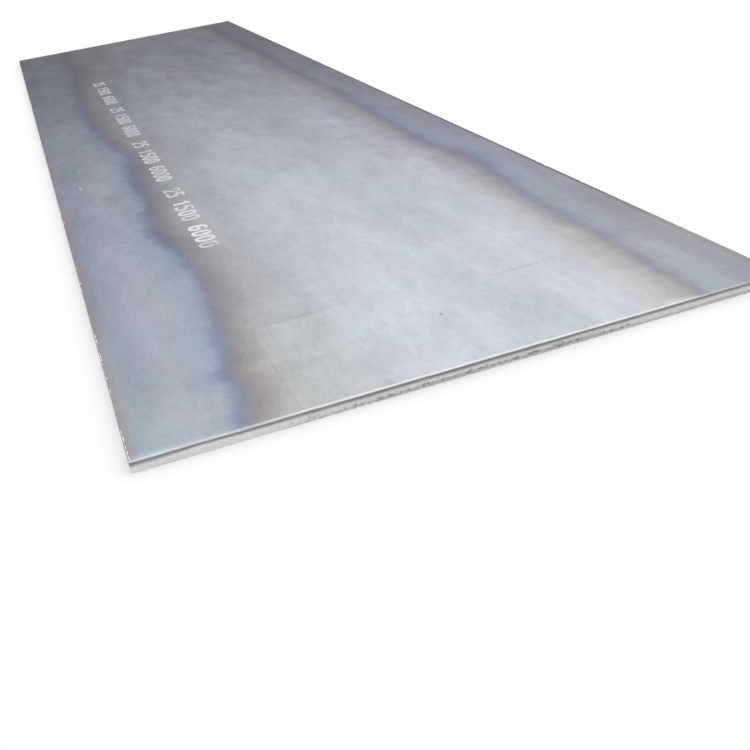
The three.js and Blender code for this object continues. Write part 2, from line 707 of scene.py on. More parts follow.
@dataclass(frozen=True)
class MillScale:
    """Satin blue-grey mill scale of the top face, with its heat tints, cloudy mottling and lengthwise streaks.

    A span is a range with the values at its two ends: along the plate from the near end, across it from the left
    edge, both in metres, or over a pattern's noise. A reach is a pair of distances from the long edge.

    Attributes:
        greener: The tint of its greener patches.
        redder: The tint of its redder patches.
        grazing: Its tint at a low angle.
        rim: The colour of the rounded edge of the ends: bare steel, with a painted highlight.
        rim_strength: How strongly that colour is laid on, at shares of the width.
        rim_fade: How strongly it is laid on, by the distance from the end.
        chip_reach: How far a whole step of noise moves its border, in metres.
        dulling: What the scale's colour is multiplied by, at shares of the length: painted shade, darker towards
            the far end.
        left_swing: How much stronger the clouds are on the left side.
        pink: The tint of the strip along each long edge.
        polish: What the roughness is multiplied by along the plate.
    """

    half_width: float
    length: float
    colour: Colour = (0.655, 0.688, 0.735)
    greener: Colour = (0.97, 1.01, 0.985)
    redder: Colour = (1.015, 0.985, 1.01)
    drift: Pattern = Pattern((3.4, 1.25, 1.0), shift=(7.0, 5.0, 0.0))
    drift_range: Point = (0.30, 0.70)
    grazing: Colour = (0.585, 0.575, 0.645)
    metal: float = 0.94
    rim: Colour = (0.95, 0.95, 0.96)
    rim_strength: tuple[Point, ...] = (
        (0.0, 0.56), (0.13, 0.53), (0.19, 0.58), (0.25, 0.90), (0.66, 0.90), (0.82, 0.66), (0.88, 0.30),
        (1.0, 0.16),
    )
    rim_fade: Span = (6.5 * MM, 13.0 * MM, 0.9, 0.0)
    chips: Pattern = Pattern((60.0, 260.0, 60.0), 4.0, 0.65, (0.0, 0.0, 2.0))
    chip_reach: float = 7.0 * MM
    dulling: tuple[Point, ...] = ((0.0, 1.0), (0.25, 1.0), (0.5, 0.96), (0.75, 0.87), (1.0, 0.74))
    bands: tuple[TintBand, ...] = (LEFT_BAND, RIGHT_BAND)
    marks: tuple[Mark, ...] = TOP_MARKS
    clouds: Pattern = Pattern((6.0, 2.4, 1.0), 6.0, 0.78, (0.0, 3.0, 0.0))
    cloud_swing: Span = (0.8, 2.6, 0.60, 0.95)
    left_side: Span = (0.20, 0.32, 1.0, 0.0)
    left_swing: Span = (0.6, 1.3, -0.45, 0.3)
    streaks: Pattern = Pattern((34.0, 0.6, 1.0), 4.0, 0.72, (2.0, 0.0, 0.0))
    streak_tone: Span = (0.25, 0.75, 0.979, 1.021)
    speckle: Pattern = Pattern((75.0, 26.0, 1.0), 4.0, 0.75)
    speckle_swing: Span = (0.7, 2.4, 0.27, 0.15)
    lilac: Colour = (1.03, 0.955, 0.975)
    lilac_patches: Pattern = Pattern((8.0, 2.6, 1.0), 2.0, shift=(1.0, 9.0, 0.0))
    lilac_range: Span = (0.42, 0.62, 0.0, 0.75)
    lilac_reach: Point = (0.21, 0.13)
    pink: Colour = (0.95, 0.86, 0.80)
    pink_reach: Point = (0.030, 0.004)
    grain: Pattern = Pattern((330.0, 230.0, 1.0), 4.0, 0.62)
    grain_height: float = 0.03 * MM
    grain_strength: float = 0.5
    gloss: Pattern = Pattern((11.0, 2.4, 1.0), 4.0, 0.55, (4.0, 1.0, 0.0))
    roughness: Span = (0.3, 0.7, 0.2, 0.26)
    polish: Span = (2.0, 5.5, 1.0, 0.7)

    def material(self) -> bpy.types.Material:
        """Builds the material.

        Returns:
            The material.
        """
        material, bench = new_material("mill_scale")
        place = bench.place()
        x, y, _ = bench.axes(place)
        v = bench.math("ADD", y, self.length / 2)
        x_from_left = bench.math("ADD", x, self.half_width)
        tone = self.mottling(bench, place, x_from_left, v)
        colour = bench.shade(self.patches(bench, place), tone)
        for band in self.bands:
            colour = bench.tinted(colour, band.tint(bench, x, v, self.half_width, self.length))
        colour = self.edge_strips(bench, place, x, colour)
        for mark in self.marks:
            colour = bench.tinted(colour, mark.tint, mark.share(bench, x_from_left, v))
        # Painted shade: the scale's colour is darkened towards the far end.
        colour = bench.shade(colour, bench.curve(bench.math("DIVIDE", v, self.length), self.dulling))
        # Painted highlight: the rounded edge of the ends is made brighter, partly as bare steel.
        colour = bench.mix(self.bare_rim(bench, place, x, y), colour, self.rim)
        roughness = bench.span(bench.pattern(place, self.gloss), *self.roughness)
        bench.surface(
            Base_Color=colour,
            Metallic=self.metal,
            Roughness=bench.math("MULTIPLY", roughness, bench.span(v, *self.polish)),
            Specular_Tint=self.grazing,
            Normal=bench.bump(bench.pattern(place, self.grain), self.grain_height, self.grain_strength),
        )
        return material

    def bare_rim(self, bench: Bench, place: Socket, x: Socket, y: Socket) -> Socket:
        """Works out the rounded edge's bright colour on the crosscut ends: painted highlight, and bare steel where
        the scale has flaked off.

        Args:
            bench: The material's bench.
            place: The place on the plate, in metres.
            x: Its part across the plate.
            y: Its part along the plate.

        Returns:
            The share of that bright colour, from 0 to 1.
        """
        inward = bench.math("SUBTRACT", self.length / 2, bench.math("ABSOLUTE", y))
        ragged = bench.sway(bench.pattern(place, self.chips), self.chip_reach, inward)
        across = bench.math("MULTIPLY_ADD", x, 0.5 / self.half_width, 0.5)
        strength = bench.curve(across, self.rim_strength)
        return bench.math("MULTIPLY", bench.span(ragged, *self.rim_fade), strength)

    def mottling(self, bench: Bench, place: Socket, x_from_left: Socket, v: Socket) -> Socket:
        """Lays cloudy lighter and darker places over faint streaks along the rolling direction and a fine speckle.

        Args:
            bench: The material's bench.
            place: The place on the plate, in metres.
            x_from_left: The place across the plate from its left edge, in metres.
            v: The place along the plate from its near end, in metres.

        Returns:
            The tone, which is about 1.
        """
        beside = bench.span(x_from_left, *self.left_side)
        stronger = bench.math("MULTIPLY_ADD", beside, bench.span(v, *self.left_swing), 1.0)
        swing = bench.math("MULTIPLY", bench.span(v, *self.cloud_swing), stronger)
        clouds = bench.sway(bench.pattern(place, self.clouds), swing, 1.0)
        streaks = bench.span(bench.pattern(place, self.streaks), *self.streak_tone, smooth=False)
        speckle = bench.sway(bench.pattern(place, self.speckle), bench.span(v, *self.speckle_swing), 1.0)
        return bench.math("MULTIPLY", bench.math("MULTIPLY", clouds, streaks), speckle)

    def patches(self, bench: Bench, place: Socket) -> Socket:
        """Turns the scale's own colour a little greener or redder from place to place.

        Args:
            bench: The material's bench.
            place: The place on the plate, in metres.

        Returns:
            The scale's colour.
        """
        low, high = self.drift_range
        stops = (
            (low, times(self.colour, self.greener)),
            ((low + high) / 2, self.colour),
            (high, times(self.colour, self.redder)),
        )
        return bench.ramp(bench.pattern(place, self.drift), stops)

    def edge_strips(self, bench: Bench, place: Socket, x: Socket, colour: Socket) -> Socket:
        """Adds lilac patches inside the bands, and the pinkish-brown strip along each edge.

        Args:
            bench: The material's bench.
            place: The place on the plate, in metres.
            x: Its part across the plate.
            colour: The scale's colour so far.

        Returns:
            The scale's colour with both.
        """
        out = bench.math("ABSOLUTE", x)
        inside = bench.span(out, *(self.half_width - reach for reach in self.lilac_reach))
        patches = bench.span(bench.pattern(place, self.lilac_patches), *self.lilac_range)
        colour = bench.tinted(colour, self.lilac, bench.math("MULTIPLY", patches, inside))
        strip = bench.span(out, *(self.half_width - reach for reach in self.pink_reach))
        return bench.tinted(colour, self.pink, strip)


@dataclass(frozen=True)
class ShearedSteel:
    """A sheared edge: bright burnished land, duller fracture, dark pits and a dark line of painted shade under the
    rollover.

    The masks come from the mesh's own colour attribute: red is fracture, green is pits, blue is the dark line and
    alpha is bare burr. Grit is how strongly the flecks show. The fracture's grit and roughness are added to the
    land's, and so is the pits' roughness.
    """

    name: str
    land: Colour
    fracture: Colour
    pit: Colour
    dark_line: Colour
    bright: Colour
    drag: Pattern
    metal: float = 0.82
    drag_tone: Span = (0.25, 0.75, 0.90, 1.07)
    cool: Colour = (0.977, 1.003, 0.974)
    warm: Colour = (1.022, 0.987, 0.994)
    hues: Pattern = Pattern((21.0, 21.0, 60.0), 2.0, shift=(3.0, 0.0, 0.0))
    hue_range: Point = (0.40, 0.60)
    flecks: Pattern = Pattern((210.0, 210.0, 260.0), 3.0, 0.65)
    land_grit: float = 0.25
    fracture_grit: float = 0.80
    land_roughness: float = 0.34
    fracture_roughness: float = 0.18
    pit_roughness: float = 0.2
    relief_height: float = 0.10 * MM
    relief_strength: float = 0.6

    def material(self) -> bpy.types.Material:
        """Builds the material.

        Returns:
            The material.
        """
        material, bench = new_material(self.name)
        place = bench.place()
        masks = bench.node("Attribute", attribute_name="cut").outputs
        split = bench.node("SeparateColor")
        bench.feed(split.inputs[0], masks["Color"])
        fracture, pit, line = split.outputs
        drag = bench.pattern(place, self.drag)
        flecks = bench.pattern(place, self.flecks)
        hue = bench.mix(bench.span(bench.pattern(place, self.hues), *self.hue_range), self.cool, self.warm)
        colour = bench.tinted(bench.mix(fracture, self.land, self.fracture), hue)
        colour = bench.shade(colour, bench.span(drag, *self.drag_tone, smooth=False))
        grit = bench.math("MULTIPLY_ADD", fracture, self.fracture_grit, self.land_grit)
        colour = bench.shade(colour, bench.sway(flecks, grit, 1.0))
        colour = bench.mix(pit, colour, self.pit)
        # Painted shade: the dark line under the rollover.
        colour = bench.mix(line, colour, self.dark_line)
        colour = bench.mix(masks["Alpha"], colour, self.bright)
        rough = bench.math("MULTIPLY_ADD", fracture, self.fracture_roughness, self.land_roughness)
        bench.surface(
            Base_Color=colour,
            Metallic=self.metal,
            Roughness=bench.math("MULTIPLY_ADD", pit, self.pit_roughness, rough, clamp=True),
            Normal=bench.bump(bench.math("ADD", flecks, drag), self.relief_height, self.relief_strength),
        )
        return material


@dataclass(frozen=True)
class Underside:
    """The bottom face: duller scale, with the rub marks of the skids it was moved on and a little light rust."""

    colour: Colour = (0.43, 0.445, 0.465)
    darkest: float = 0.88
    clouds: Pattern = Pattern((6.0, 1.8, 1.0), 5.0, 0.6)
    cloud_range: Point = (0.3, 0.7)
    rust: Colour = (0.30, 0.215, 0.16)
    rust_patches: Pattern = Pattern((14.0, 9.0, 1.0), 6.0, 0.7, (5.0, 0.0, 0.0))
    rust_range: Span = (0.60, 0.74, 0.0, 0.55)
    rub: Colour = (0.60, 0.61, 0.62)
    skid_marks: Pattern = Pattern((2.0, 40.0, 1.0), 3.0, 0.7)
    skid_range: Span = (0.62, 0.72, 0.0, 0.5)
    metal: float = 0.75
    roughness: Point = (0.38, 0.52)

    def material(self) -> bpy.types.Material:
        """Builds the material.

        Returns:
            The material.
        """
        material, bench = new_material("underside_scale")
        place = bench.place()
        clouds = bench.pattern(place, self.clouds)
        low, high = self.cloud_range
        colour = bench.ramp(clouds, ((low, times(self.colour, grey(self.darkest))), (high, self.colour)))
        rust = bench.span(bench.pattern(place, self.rust_patches), *self.rust_range)
        colour = bench.mix(rust, colour, self.rust)
        skids = bench.span(bench.pattern(place, self.skid_marks), *self.skid_range)
        colour = bench.mix(skids, colour, self.rub)
        roughness = bench.span(clouds, low, high, *self.roughness)
        bench.surface(Base_Color=colour, Metallic=self.metal, Roughness=roughness)
        return material


@dataclass(frozen=True)
class BareBurr:
    """Bright bare steel of the small burrs that stand up along the sheared long edges."""

    colour: Colour = (0.93, 0.93, 0.94)
    dullest: float = 0.8
    dents: Pattern = Pattern((500.0, 160.0, 500.0), 2.0)
    dent_range: Point = (0.3, 0.6)
    metal: float = 0.9
    roughness: Span = (0.3, 0.7, 0.24, 0.36)

    def material(self) -> bpy.types.Material:
        """Builds the material.

        Returns:
            The material.
        """
        material, bench = new_material("bare_burr")
        dents = bench.pattern(bench.place(), self.dents)
        low, high = self.dent_range
        colour = bench.ramp(dents, ((low, times(self.colour, grey(self.dullest))), (high, self.colour)))
        bench.surface(Base_Color=colour, Metallic=self.metal, Roughness=bench.span(dents, *self.roughness))
        return material


@dataclass(frozen=True)
class MarkingPaint:
    """Matt white spray paint, darker towards the far end as painted shade, and worn unevenly, so that the scale
    shows through.

    Attributes:
        white: The paint's colour, at shares of its reach, with painted shade that darkens it towards the far end.
        reach: Where that starts and ends, in metres along Y.
        steel: The colour where the paint has gone.
        cover: The noise up to which unworn paint holds.
        wear_gain: How much a figure's wear lowers that.
        wear_edge: How softly the paint ends, below and above it.
    """

    white: Stops = (
        (0.0, (0.81, 0.82, 0.87)), (0.17, (0.79, 0.80, 0.85)), (0.25, (0.70, 0.72, 0.79)),
        (0.50, (0.68, 0.70, 0.77)), (0.64, (0.55, 0.575, 0.66)), (1.0, (0.52, 0.54, 0.61)),
    )
    reach: Point = (-1.9, 0.6)
    steel: Colour = (0.52, 0.54, 0.56)
    spots: Pattern = Pattern((170.0, 120.0, 1.0), 5.0, 0.7)
    cover: float = 0.62
    wear_gain: float = 0.42
    wear_edge: Point = (-0.06, 0.10)
    roughness: float = 0.62
    gloss: float = 0.35

    def material(self) -> bpy.types.Material:
        """Builds the material. The paint's own attribute says how worn each figure is.

        Returns:
            The material.
        """
        material, bench = new_material("marking_paint")
        place = bench.place()
        wear = bench.node("Attribute", attribute_name="wear").outputs["Fac"]
        spots = bench.math("SUBTRACT", bench.pattern(place, self.spots), self.cover)
        gone = bench.math("ADD", spots, bench.math("MULTIPLY", wear, self.wear_gain))
        _, y, _ = bench.axes(place)
        # Painted shade: the paint is darker towards the far end.
        white = bench.ramp(bench.span(y, *self.reach, smooth=False), self.white)
        colour = bench.mix(bench.span(gone, *self.wear_edge), white, self.steel)
        bench.surface(Base_Color=colour, Roughness=self.roughness, Specular_IOR_Level=self.gloss)
        return material


@dataclass(frozen=True)
class Pit:
    """A dark pit in the cut.

    Attributes:
        across: Its middle, in metres from the left edge.
        down: Its middle, in metres down from the top.
        half_width: Half of its width, in metres.
        half_height: Half of its height, in metres.
        strength: How dark its middle is, from 0 to 1.
    """

    across: float
    down: float
    half_width: float
    half_height: float
    strength: float = 1.0

    def depth_at(self, across: float, down: float) -> float:
        """How deep the pit is at a place, from 0 outside it to 1."""
        off = ((across - self.across) / self.half_width) ** 2 + ((down - self.down) / self.half_height) ** 2
        return self.strength * (1.0 - off) ** 0.5 if off < 1.0 else 0.0


@dataclass(frozen=True)
class ShearedSection:
    """The line of a sheared edge, down from the face that the blade met first, in metres."""

    rollover_run: float
    rollover_drop: float
    land_height: float
    fracture_recess: float
    corner_break: float

    def inset(self, depth: float, thickness: float) -> float:
        """Reads the line.

        Args:
            depth: The place down from the face that the blade met first.
            thickness: The plate's thickness.

        Returns:
            How far the edge lies inside its outermost plane there.
        """
        if depth < self.rollover_drop:
            rise = (self.rollover_drop - depth) / self.rollover_drop
            return self.rollover_run * (1.0 - math.sqrt(max(0.0, 1.0 - rise * rise)))
        foot = self.rollover_drop + self.land_height
        if depth <= foot:
            return 0.0
        recess = self.fracture_recess * (depth - foot) / (thickness - foot)
        return recess + self.corner_break * smoothstep(thickness - self.corner_break, thickness, depth)


@dataclass
class CutFace:
    """The relief of a crosscut end: drag lines, a ragged fracture, pits, and the step of a second stroke.

    Places across start at the left edge and depths at the top. All are in metres. A mask is from 0 to 1.

    Attributes:
        seed: What sets its ripples apart from another cut's.
        land_foot: The depth at which the land ends, at places across.
        land_dulling: How much of the fracture's look the land has, at places across.
        line_foot: The depth at which the dark line ends, at places across.
        second_stroke: Where the blade struck a second time, if it did.
        foot_blend: Where the change to fracture starts and ends, from the land's foot.
        line_head: Where the dark line's head starts and is whole.
        line_core: Where its foot starts to fade.
        burr_rows: How far above the bottom the bare burr starts and is whole.
        burr: How bare it is everywhere, and what its ragged places add.
        corner_burr: The same, near the left corner.
        corner_reach: Where that starts to fade and ends.
        step_fade: How far past the second stroke its step starts to fade and ends.
        lift_gain: How ragged the lower edge is everywhere, and what the left corner adds.
    """

    thickness: float
    seed: float
    land_foot: tuple[Point, ...]
    land_dulling: tuple[Point, ...]
    line_foot: tuple[Point, ...]
    pits: tuple[Pit, ...] = ()
    second_stroke: float | None = None
    foot_ripple: Ripple = Ripple(1.1 * MM, 0.013)
    foot_blend: Point = (-1.6 * MM, 1.8 * MM)
    dull_ripple: Ripple = Ripple(0.5, 0.006, 0.011)
    pit_tone: float = 0.78
    pit_ripple: Ripple = Ripple(0.30, 0.003, 0.003)
    line_head: Point = (0.35 * MM, 1.35 * MM)
    line_core: float = 3.2 * MM
    line_ripples: tuple[Ripple, ...] = (Ripple(0.25 * MM, 0.05, seed=3.0), Ripple(0.2 * MM, 0.012, seed=3.0))
    line_foot_gain: float = 4.0
    line_tone: float = 0.90
    line_tone_ripple: Ripple = Ripple(0.10, 0.03)
    burr_rows: Point = (4.5 * MM, 2.5 * MM)
    burr_ripple: Ripple = Ripple(1.0, 0.009, seed=9.0)
    burr_range: Point = (0.05, 0.45)
    burr: Point = (0.16, 0.34)
    corner_burr: Point = (0.30, 0.60)
    corner_reach: Point = (0.010, 0.125)
    drag: float = 0.05 * MM
    drag_ripple: Ripple = Ripple(1.0, 0.0045, seed=20.0)
    crumble: float = 0.40 * MM
    crumble_ripple: Ripple = Ripple(1.0, 0.005, 0.0035)
    pit_depth: float = 0.9 * MM
    line_depth: float = 0.35 * MM
    burr_height: float = 0.3 * MM
    step: float = 0.8 * MM
    step_fade: Point = (0.02, 0.22)
    lift: float = 1.0 * MM
    lift_ripples: tuple[Ripple, ...] = (Ripple(1.0, 0.013, seed=5.0), Ripple(0.5, 0.004))
    lift_gain: Point = (0.45, 1.1)
    lift_reach: float = 0.13

    def masks(self, across: float, depth: float) -> Masks:
        """Fracture, pit, dark line and bare burr at a place on the cut."""
        place = (across, depth)
        return self.fracture_at(*place), self.pit_at(*place), self.line_at(*place), self.burr_at(*place)

    def fracture_at(self, across: float, depth: float) -> float:
        """Works out the fracture.

        Args:
            across: The place across.
            depth: The depth.

        Returns:
            Its mask there.
        """
        foot = along(self.land_foot, across) + self.foot_ripple.at(self.seed, across)
        dull = along(self.land_dulling, across) * (1.0 + self.dull_ripple.at(self.seed, across, depth))
        start, end = self.foot_blend
        return min(max(dull, smoothstep(foot + start, foot + end, depth)), 1.0)

    def pit_at(self, across: float, depth: float) -> float:
        """Works out the pits.

        Args:
            across: The place across.
            depth: The depth.

        Returns:
            Their mask there.
        """
        pit = max((p.depth_at(across, depth) for p in self.pits), default=0.0)
        pit *= self.pit_tone + self.pit_ripple.at(self.seed, across, depth)
        return min(max(pit, 0.0), 1.0)

    def line_at(self, across: float, depth: float) -> float:
        """Works out the dark line under the rollover, which is painted shade.

        Args:
            across: The place across.
            depth: The depth.

        Returns:
            Its mask there.
        """
        shift = sum(part.at(self.seed, across) for part in self.line_ripples)
        start, end = self.line_head
        foot = along(self.line_foot, across) + self.line_foot_gain * shift
        line = smoothstep(start + shift, end + shift, depth)
        line *= 1.0 - smoothstep(self.line_core + shift, foot, depth)
        return line * (self.line_tone + self.line_tone_ripple.at(self.seed, across))

    def burr_at(self, across: float, depth: float) -> float:
        """Works out the bare burr.

        Args:
            across: The place across.
            depth: The depth.

        Returns:
            Its mask there.
        """
        start, end = self.burr_rows
        low = smoothstep(self.thickness - start, self.thickness - end, depth)
        ragged = smoothstep(*self.burr_range, self.burr_ripple.at(self.seed, across))
        corner = 1.0 - smoothstep(*self.corner_reach, across)
        (even, uneven), (corner_even, corner_uneven) = self.burr, self.corner_burr
        return low * max(even + uneven * ragged, corner * (corner_even + corner_uneven * ragged))

    def recess(self, across: float, depth: float, masks: Masks) -> float:
        """Works out the relief.

        Args:
            across: The place across.
            depth: The depth.
            masks: The masks there.

        Returns:
            How far the relief lies inside the plain section there.
        """
        fracture, pit, line, burr = masks
        drag = self.drag * (1.0 + self.drag_ripple.at(self.seed, across))
        crumble = self.crumble * (1.0 + self.crumble_ripple.at(self.seed, across, depth))
        inside = drag + fracture * crumble + self.pit_depth * pit + self.line_depth * line
        inside -= self.burr_height * burr * fracture
        if self.second_stroke is not None and across > self.second_stroke:
            inside += self.step * (1.0 - smoothstep(*self.step_fade, across - self.second_stroke))
        return max(0.0, inside)

    def lift_at(self, across: float) -> float:
        """Works out the ragged lower edge.

        Args:
            across: The place across.

        Returns:
            How far the edge lies above the bottom face there.
        """
        ragged = sum(max(0.0, part.at(self.seed, across)) for part in self.lift_ripples)
        corner = 1.0 - smoothstep(0.0, self.lift_reach, across)
        everywhere, more = self.lift_gain
        return self.lift * ragged * (everywhere + more * corner)


@dataclass(frozen=True)
class SideFace:
    """The relief of the sheared long edges, whose blade met the bottom first.

    Heights start at the bottom. All sizes are in metres. A mask is from 0 to 1. A pair says where a change starts
    and where it is whole: from the land's head, in a ripple's height, or above the bottom.
    """

    seed: float = 50.0
    land_head: float = 14.0 * MM
    head_ripple: Ripple = Ripple(1.6 * MM, 0.09)
    head_blend: Point = (-1.0 * MM, 2.5 * MM)
    rub_ripple: Ripple = Ripple(1.0, 0.11, 0.006, seed=4.0)
    rub_range: Point = (0.15, 0.6)
    rub: float = 0.6
    bare_ripple: Ripple = Ripple(1.0, 0.03, seed=8.0)
    bare_range: Point = (0.10, 0.45)
    bare_rows: Point = (22.0 * MM, 24.0 * MM)
    crumble: float = 0.3 * MM
    crumble_ripple: Ripple = Ripple(1.0, 0.02, 0.005)
    drag: float = 0.04 * MM
    drag_ripple: Ripple = Ripple(1.0, 0.03, seed=1.0)

    def masks(self, x: float, y: float, height: float) -> Masks:
        """Works out the masks.

        Args:
            x: The side's place across the plate.
            y: The place along it.
            height: The height.

        Returns:
            Fracture, rubbed places, no dark line and bare burr there.
        """
        seed = self.seed + x
        head = self.land_head + self.head_ripple.at(seed, y)
        start, end = self.head_blend
        fracture = smoothstep(head + start, head + end, height)
        rub = smoothstep(*self.rub_range, self.rub_ripple.at(seed, y, height))
        bare = smoothstep(*self.bare_range, self.bare_ripple.at(seed, y)) * smoothstep(*self.bare_rows, height)
        return fracture, self.rub * rub, 0.0, bare

    def recess(self, x: float, y: float, height: float, fracture: float) -> float:
        """Works out the relief.

        Args:
            x: The side's place across the plate.
            y: The place along it.
            height: The height.
            fracture: The fracture's mask there.

        Returns:
            How far the relief lies inside the plain section there.
        """
        seed = self.seed + x
        crumble = fracture * self.crumble * (1.0 + self.crumble_ripple.at(seed, y, height))
        return crumble + self.drag * (1.0 + self.drag_ripple.at(seed, y))


@dataclass
class RolledPlate:
    """The plate itself: flat faces with a fine wall round them that has the relief of the sheared edges.

    The wall's columns are whole multiples of the faces' cells, so that the faces' cuts end at its own corners. All
    sizes are in metres.

    Attributes:
        low: The lowest corner of the plate's box.
        high: The highest corner of the plate's box.
        face_drop: How far the top face lies below the box's top, to leave room for paint and burrs.
        line_row: The height of a row in the dark line.
        face_cells: How many cells the faces are cut into, across and along.
        corner_radius: How far from a corner the cut starts to fall back.
        corner_fall: How far it falls back at the corner's foot, as a share of that.
        corner_fullness: How much of a quarter round the fall follows.
        corner_top: The share of the fall at the top.
        corner_angle: The sharpest angle that is shaded smoothly, in degrees.
        skin_share: How far down the ends' rollover the scale reaches, as a share of its drop.
        relief_share: How far down it the ends' relief starts, as a share of its drop.
        lift_height: How far above the bottom the ragged lower edge starts to lift the cut.
        seeds: What sets the chatter marks, the near end's pits and the far end's pits apart.
    """

    low: Vector
    high: Vector
    face_drop: float = 0.2 * MM
    near_columns: int = 1160
    far_columns: int = 400
    side_columns: int = 480
    rollover_rows: int = 7
    line_rows: int = 8
    line_row: float = 0.62 * MM
    lower_rows: int = 12
    face_cells: tuple[int, int] = (20, 40)
    corner_radius: float = 9.0 * MM
    corner_fall: float = 0.35
    corner_fullness: float = 0.92
    corner_top: float = 0.4
    corner_angle: float = 50.0
    skin_share: float = 0.25
    relief_share: float = 0.2
    lift_height: float = 2.2 * MM
    seeds: tuple[int, int, int] = (9, 11, 12)
    end_section: ShearedSection = ShearedSection(10.0 * MM, 2.0 * MM, 9.0 * MM, 1.2 * MM, 0.5 * MM)
    side_section: ShearedSection = ShearedSection(8.0 * MM, 5.0 * MM, 9.0 * MM, 1.0 * MM, 0.4 * MM)
    side: SideFace = SideFace()
    near_cut: CutFace = field(init=False)
    far_cut: CutFace = field(init=False)

    def __post_init__(self) -> None:
        """Works out the plate's sizes from its box, and lays out its two cuts."""
        self.width, self.length = (self.high - self.low).xy
        self.top = self.high.z - self.face_drop
        self.thickness = self.top - self.low.z
        marks, near_pits, far_pits = (random.Random(seed) for seed in self.seeds)
        self.near_cut = CutFace(
            thickness=self.thickness,
            seed=1.7,
            land_foot=(
                (0.0, 24.0 * MM), (0.29, 24.0 * MM), (0.34, 21.0 * MM), (0.50, 18.0 * MM), (0.60, 15.5 * MM),
                (0.84, 14.6 * MM), (0.909, 14.2 * MM), (0.913, 10.8 * MM), (0.94, 11.2 * MM), (1.02, 13.2 * MM),
                (1.08, 17.0 * MM), (1.14, 19.0 * MM), (1.24, 18.0 * MM), (1.32, 16.0 * MM), (1.50, 17.0 * MM),
            ),
            land_dulling=(
                (0.0, 0.02), (0.28, 0.05), (0.36, 0.22), (0.50, 0.26), (0.66, 0.30), (0.90, 0.40), (0.93, 0.55),
                (1.06, 0.42), (1.12, 0.30), (1.24, 0.32), (1.34, 0.42), (1.50, 0.42),
            ),
            line_foot=(
                (0.0, 15.0 * MM), (0.06, 13.0 * MM), (0.13, 9.0 * MM), (0.30, 11.3 * MM), (0.909, 10.6 * MM),
                (0.913, 9.0 * MM), (1.0, 9.5 * MM), (1.50, 10.0 * MM),
            ),
            pits=(
                *self.chatter_marks(marks),
                *self.scatter_pits(near_pits, count=60, low=0.36, high=1.12),
            ),
            second_stroke=0.911,
        )
        self.far_cut = CutFace(
            thickness=self.thickness,
            seed=31.2,
            land_foot=((0.0, 19.0 * MM), (0.7, 15.0 * MM), (1.5, 20.0 * MM)),
            land_dulling=((0.0, 0.1), (0.8, 0.3), (1.5, 0.15)),
            line_foot=((0.0, 11.0 * MM), (0.8, 13.0 * MM), (1.5, 10.0 * MM)),
            pits=tuple(self.scatter_pits(far_pits, count=50, low=0.1, high=1.4)),
        )

    def chatter_marks(self, chance: random.Random, start: float = 0.298, end: float = 0.60) -> list[Pit]:
        """Lays out narrow upright marks at nearly even steps, and one longer score by the left corner.

        Args:
            chance: The marks' own random numbers.
            start: Where the marks start, in metres from the left edge.
            end: Where they end.

        Returns:
            The marks.
        """
        made = [Pit(across=0.094, down=14.0 * MM, half_width=1.5 * MM, half_height=10.0 * MM, strength=0.30)]
        across = start
        while across < end:
            height = chance.uniform(2.6, 4.2) * MM
            down = chance.uniform(14.0, 17.0) * MM
            made.append(Pit(across, down, chance.uniform(1.4, 2.4) * MM, height, strength=0.7))
            across += chance.uniform(0.017, 0.029)
        return made

    def scatter_pits(self, chance: random.Random, count: int, low: float, high: float) -> list[Pit]:
        """Lays out pits in a loose row along the lower half of the cut, thickest a little past its middle.

        Args:
            chance: The pits' own random numbers.
            count: How many there are.
            low: Where they start, in metres from the left edge.
            high: Where they end.

        Returns:
            The pits.
        """
        made = []
        for _ in range(count):
            across = chance.triangular(low, high, (low + high) / 2 + 0.08)
            down = chance.gauss(16.9, 1.5) * MM
            height = chance.uniform(1.5, 2.9) * MM
            made.append(Pit(across, down, height * chance.uniform(1.0, 2.8), height, chance.uniform(0.55, 1.0)))
        return made

    def row_depths(self) -> list[float]:
        """Lays out the wall's rows: close together round the rollover and the dark line, and wider below them.

        Returns:
            The rows' depths, from 0 to the thickness.
        """
        drop, count = self.end_section.rollover_drop, self.rollover_rows
        depths = [drop * (1.0 - math.cos(math.pi / 2 * step / count)) for step in range(count + 1)]
        depths += [drop + self.line_row * step for step in range(1, self.line_rows + 1)]
        start, count = depths[-1], self.lower_rows
        depths += [start + (self.thickness - start) * step / count for step in range(1, count + 1)]
        return depths

    def build(self) -> bpy.types.Object:
        """Builds the plate's mesh and dresses it.

        Returns:
            The finished piece.
        """
        mesh = bmesh.new()
        self.masks = mesh.verts.layers.float_color.new("cut")
        rim = self.draw_rim(mesh)
        self.add_face(mesh, rim, self.top)
        foot = self.draw_wall(mesh, rim)
        self.add_face(mesh, foot, self.low.z)
        self.assign_finishes(mesh)
        for vertex in mesh.verts:
            self.shape_vertex(vertex)
        bmesh.ops.recalc_face_normals(mesh, faces=mesh.faces)
        self.mark_sharp_edges(mesh)
        return make_piece(mesh, "rolled_plate", self.finishes())

    def finishes(self) -> list[bpy.types.Material]:
        """Makes the plate's finishes.

        Returns:
            The materials, in the order of their indices on the faces.
        """
        scale = MillScale(half_width=self.width / 2, length=self.length)
        end = ShearedSteel(
            name="sheared_end",
            land=(0.745, 0.742, 0.757),
            fracture=(0.53, 0.513, 0.505),
            pit=(0.19, 0.177, 0.172),
            dark_line=(0.185, 0.182, 0.20),
            bright=(0.92, 0.92, 0.92),
            drag=Pattern((190.0, 60.0, 14.0), rough=0.6),
        )
        side = ShearedSteel(
            name="sheared_side",
            land=(0.42, 0.42, 0.425),
            fracture=(0.32, 0.315, 0.31),
            pit=(0.20, 0.17, 0.15),
            dark_line=(0.20, 0.20, 0.21),
            bright=(0.85, 0.85, 0.86),
            drag=Pattern((60.0, 110.0, 16.0), rough=0.6),
            metal=0.75,
        )
        return [scale.material(), end.material(), side.material(), Underside().material()]

